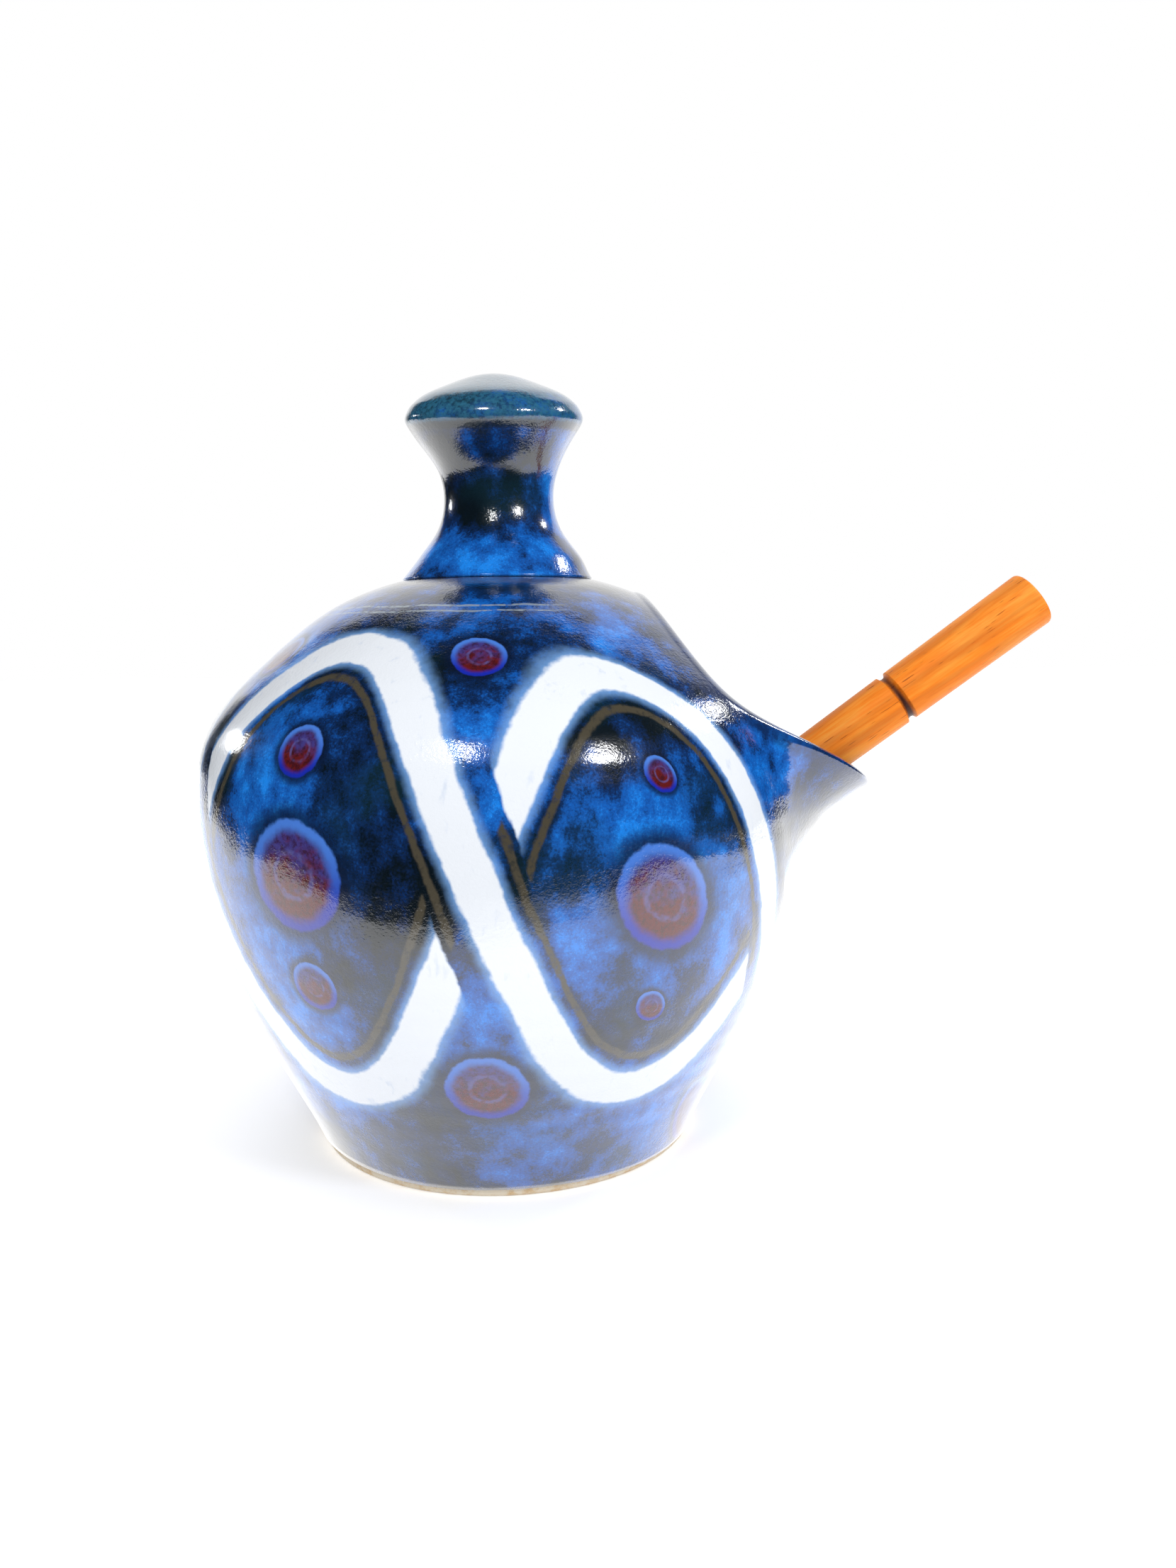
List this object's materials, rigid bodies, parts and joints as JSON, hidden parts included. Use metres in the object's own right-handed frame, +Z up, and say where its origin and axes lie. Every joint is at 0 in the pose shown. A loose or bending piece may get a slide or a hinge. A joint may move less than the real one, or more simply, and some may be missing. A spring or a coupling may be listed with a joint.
{
  "type": "salt pot",
  "caption": "Thrown stoneware salt pot with a closed shoulder, a knob on top, a flared side mouth and a loose turned wooden spoon.",
  "frame": {"origin": "centre of the flat base, on the surface that the pot stands on", "axes": "+Z up along the pot's turning axis, +X towards the mouth and the spoon's handle, Y across"},
  "size_m": [0.1736, 0.1232, 0.1536],
  "materials": {
    "glaze": "glossy mottled cobalt glaze with painted bands and spots, cream unglazed foot",
    "knob_glaze": "glossy mottled cobalt glaze, greener on the cap",
    "wood": "oiled orange-brown turned wood"
  },
  "bodies": {
    "pot": {"pot_body": "glaze", "knob": "knob_glaze"},
    "spoon": {"spoon": "wood"}
  },
  "joints": [
    {"name": "spoon_lift", "type": "slide", "parent": "pot", "child": "spoon", "axis": [0.766, 0, 0.6428], "range_m": [0, 0.16]}
  ]
}
